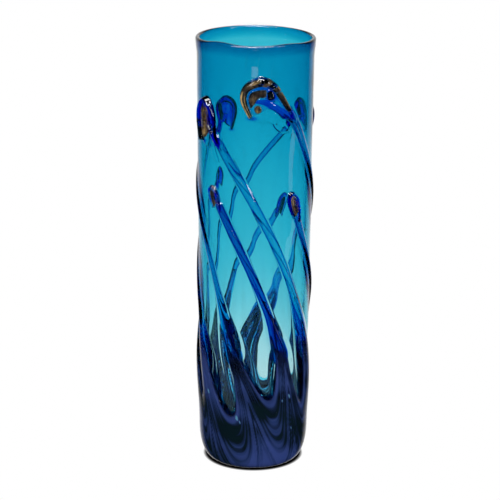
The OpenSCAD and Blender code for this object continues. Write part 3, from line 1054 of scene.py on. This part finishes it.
def make_cup():
    """The cobalt gather: opaque and streaked round the base, with a plain middle underneath."""
    line, normal = gather_line()
    r, z = line[:, 0][:, None], line[:, 1][:, None]
    theta = THETA[None, :]
    gather = opening(theta, z)
    thick = cobalt_t(theta, z) + 1.2 * smooth((16 - z) / 12)
    shade, milk, clear, threads = gather_colour(theta, z, gather, thick)
    middle = 1 - smooth(r / 24)
    shade, milk = mix(shade, 0.42, middle), np.maximum(milk, middle)
    out = relief(theta, z) * smooth(z / 6) - (0.35 + 0.5 * smooth(gather / 10 + 1))
    depth = out - thick * mix(0.5 + 1.2 * shade, 0.05 + 1.7 * threads, clear)
    depth = np.maximum(depth, inner_r(z) + lining_t(z) + 0.3 - outer_r(z))
    grids = [place(theta, z + normal[:, 1][:, None] * d, np.maximum(r + normal[:, 0][:, None] * d, 0.2))
             for d in (out, depth)]
    obj = shell("cobalt_cup", *grids, thick > 0.01, True, streak=shade, milk=milk)
    return finish_piece(obj, cobalt_cup_glass(), "cobalt_gather", "cobalt_cup")


make_casing()
make_lining()
make_cup()
stem_material, head_material, leaf_material = cobalt_stem_glass(), cobalt_head_glass(), silver_glass()
for one in STEMS:
    make_stem(one, stem_material)
    surface = surface_of(one)
    make_head_glass(one, surface, head_material)
    make_leaf(one, surface, leaf_material)

# ---- floor, light and camera


FLOOR_R = 3.5   # in metres, as all below
FLOOR_Z = -0.0002
# The shadow under the base is painted into the floor's glow.
FOOT_DARK, FOOT_LIGHT = 0.0385, 0.0415   # the shadow's full and outer radius under the base


def make_floor():
    """A white floor that glows evenly, darker only right under the vase, where a contact shadow is painted
    into its glow.
    """
    bpy.ops.mesh.primitive_circle_add(
        vertices=128, radius=FLOOR_R, fill_type="NGON", location=(0, 0, FLOOR_Z))
    obj = bpy.context.object
    obj.name = "floor"
    material, tree, shader = principled(
        "floor", Base_Color=(0, 0, 0, 1), Roughness=1.0, Specular_IOR_Level=0.0)
    # Painted shadow: occlusion near the vase and a dark ring under its base dim the floor's glow.
    near = tree.nodes.new("ShaderNodeAmbientOcclusion")
    near.inputs["Distance"].default_value = 0.0035
    near.samples = 8
    way = tree.nodes.new("ShaderNodeTexCoord").outputs["Object"]
    far = tree.nodes.new("ShaderNodeVectorMath")
    far.operation = "LENGTH"
    tree.links.new(way, far.inputs[0])
    foot = ranged(tree, far.outputs["Value"], FOOT_DARK, FOOT_LIGHT, 0.02, 1.0)
    painted_contact_shadow = arithmetic(tree, "MULTIPLY", arithmetic(tree, "POWER", near.outputs["AO"], 2.0), foot)
    seen = tree.nodes.new("ShaderNodeLightPath").outputs["Is Camera Ray"]
    glow = arithmetic(tree, "MULTIPLY", painted_contact_shadow, chosen(tree, seen, 0.92, 1.0))
    tree.links.new(glow, shader.inputs["Emission Strength"])
    shader.inputs["Emission Color"].default_value = (1, 1, 1, 1)
    obj.data.materials.append(material)
    obj.visible_glossy = False


def chosen(tree, switch, off, on):
    """off where the switch is 0 and on where it is 1."""
    node = tree.nodes.new("ShaderNodeMix")
    for socket, value in ((node.inputs[0], switch), (node.inputs[2], off), (node.inputs[3], on)):
        feed(tree, socket, value)
    return node.outputs[0]


def make_world():
    """White in the picture. The glass finds a dim room above the floor, and mirrors a white
    sweep behind it and a dark room round the photographer."""
    world = bpy.data.worlds.new("studio")
    bpy.context.scene.world = world
    world.use_nodes = True
    tree = world.node_tree
    way = tree.nodes.new("ShaderNodeTexCoord").outputs["Generated"]
    split = tree.nodes.new("ShaderNodeSeparateXYZ")
    tree.links.new(way, split.inputs[0])
    path = tree.nodes.new("ShaderNodeLightPath")
    room = arithmetic(tree, "ADD", ranged(tree, split.outputs["Z"], -0.02, 0.02, 0.02, 0.5),
                      ranged(tree, split.outputs["Z"], 0.3, 0.9, 0.0, 0.35))
    aside = arithmetic(tree, "ABSOLUTE", split.outputs["X"], 0.0)
    room = arithmetic(tree, "ADD", room, ranged(tree, aside, 0.6, 0.95, 0.0, 0.3))
    mirrored = ranged(tree, split.outputs["Y"], 0.62, 0.96, 0.0, 0.9)
    glow = chosen(tree, path.outputs["Is Glossy Ray"], room, mirrored)
    glow = chosen(tree, path.outputs["Is Camera Ray"], glow, 1.0)
    tree.links.new(glow, tree.nodes["Background"].inputs["Strength"])
    tree.nodes["Background"].inputs["Color"].default_value = (1, 1, 1, 1)


def area(name, position, size, power, aim=(0, 0, 0.18)):
    """An area lamp, which lights and is mirrored, but isn't seen directly or through the glass."""
    light = bpy.data.lights.new(name, "AREA")
    light.shape = "RECTANGLE"
    light.size, light.size_y = size
    light.energy = power
    obj = bpy.data.objects.new(name, light)
    bpy.context.scene.collection.objects.link(obj)
    obj.location = position
    toward = Vector(aim) - Vector(position)
    obj.rotation_euler = toward.to_track_quat("-Z", "Y").to_euler()
    obj.visible_camera = False
    obj.visible_transmission = False
    return obj


CAMERA_PLACE, CAMERA_AIM = (0, -1.525, 0.635), (0, 0, 0.175)
CAMERA_ROLL = 0.4
CAMERA_SHIFT = -0.0085   # the vase stands a little right of the photo's middle


def make_camera():
    """The photographer's long lens, above the vase and looking down on it."""
    camera = bpy.data.cameras.new("camera")
    camera.lens = 142
    camera.sensor_width = 36
    camera.shift_x = CAMERA_SHIFT
    obj = bpy.data.objects.new("camera", camera)
    bpy.context.scene.collection.objects.link(obj)
    obj.location = CAMERA_PLACE
    aim = Vector(CAMERA_AIM) - obj.location
    roll = Quaternion((0, 0, 1), math.radians(CAMERA_ROLL))
    obj.rotation_euler = (aim.to_track_quat("-Z", "Y") @ roll).to_euler()
    bpy.context.scene.camera = obj


make_floor()
make_world()
area("key", (-0.9, -1.2, 1.3), (0.5, 0.8), 12)
area("fill", (1.1, -0.9, 0.9), (0.25, 0.9), 6)
area("top", (0, -0.3, 1.5), (0.7, 0.5), 18, aim=(0, -0.02, 0.3))
area("window", (-0.012, -0.5, 0.2375), (0.1, 0.026), 0.014, aim=(0, 0, 0.333))
area("arc", (0, -0.75, 1.15), (0.8, 0.05), 6.0, aim=(0, 0, 0.35))
area("strip", (0.58, -0.155, 0.055), (0.1, 0.12), 0.03, aim=(0.03, -0.03, 0.22))
soft = area("soft", (0, -2.0, 1.6), (2.0, 1.6), 60)
soft.visible_glossy = False
make_camera()

scene = bpy.context.scene
scene.view_settings.view_transform = "Standard"
scene.cycles.max_bounces = 40
scene.cycles.transmission_bounces = 40
scene.cycles.transparent_max_bounces = 40
scene.cycles.glossy_bounces = 12
scene.cycles.diffuse_bounces = 4
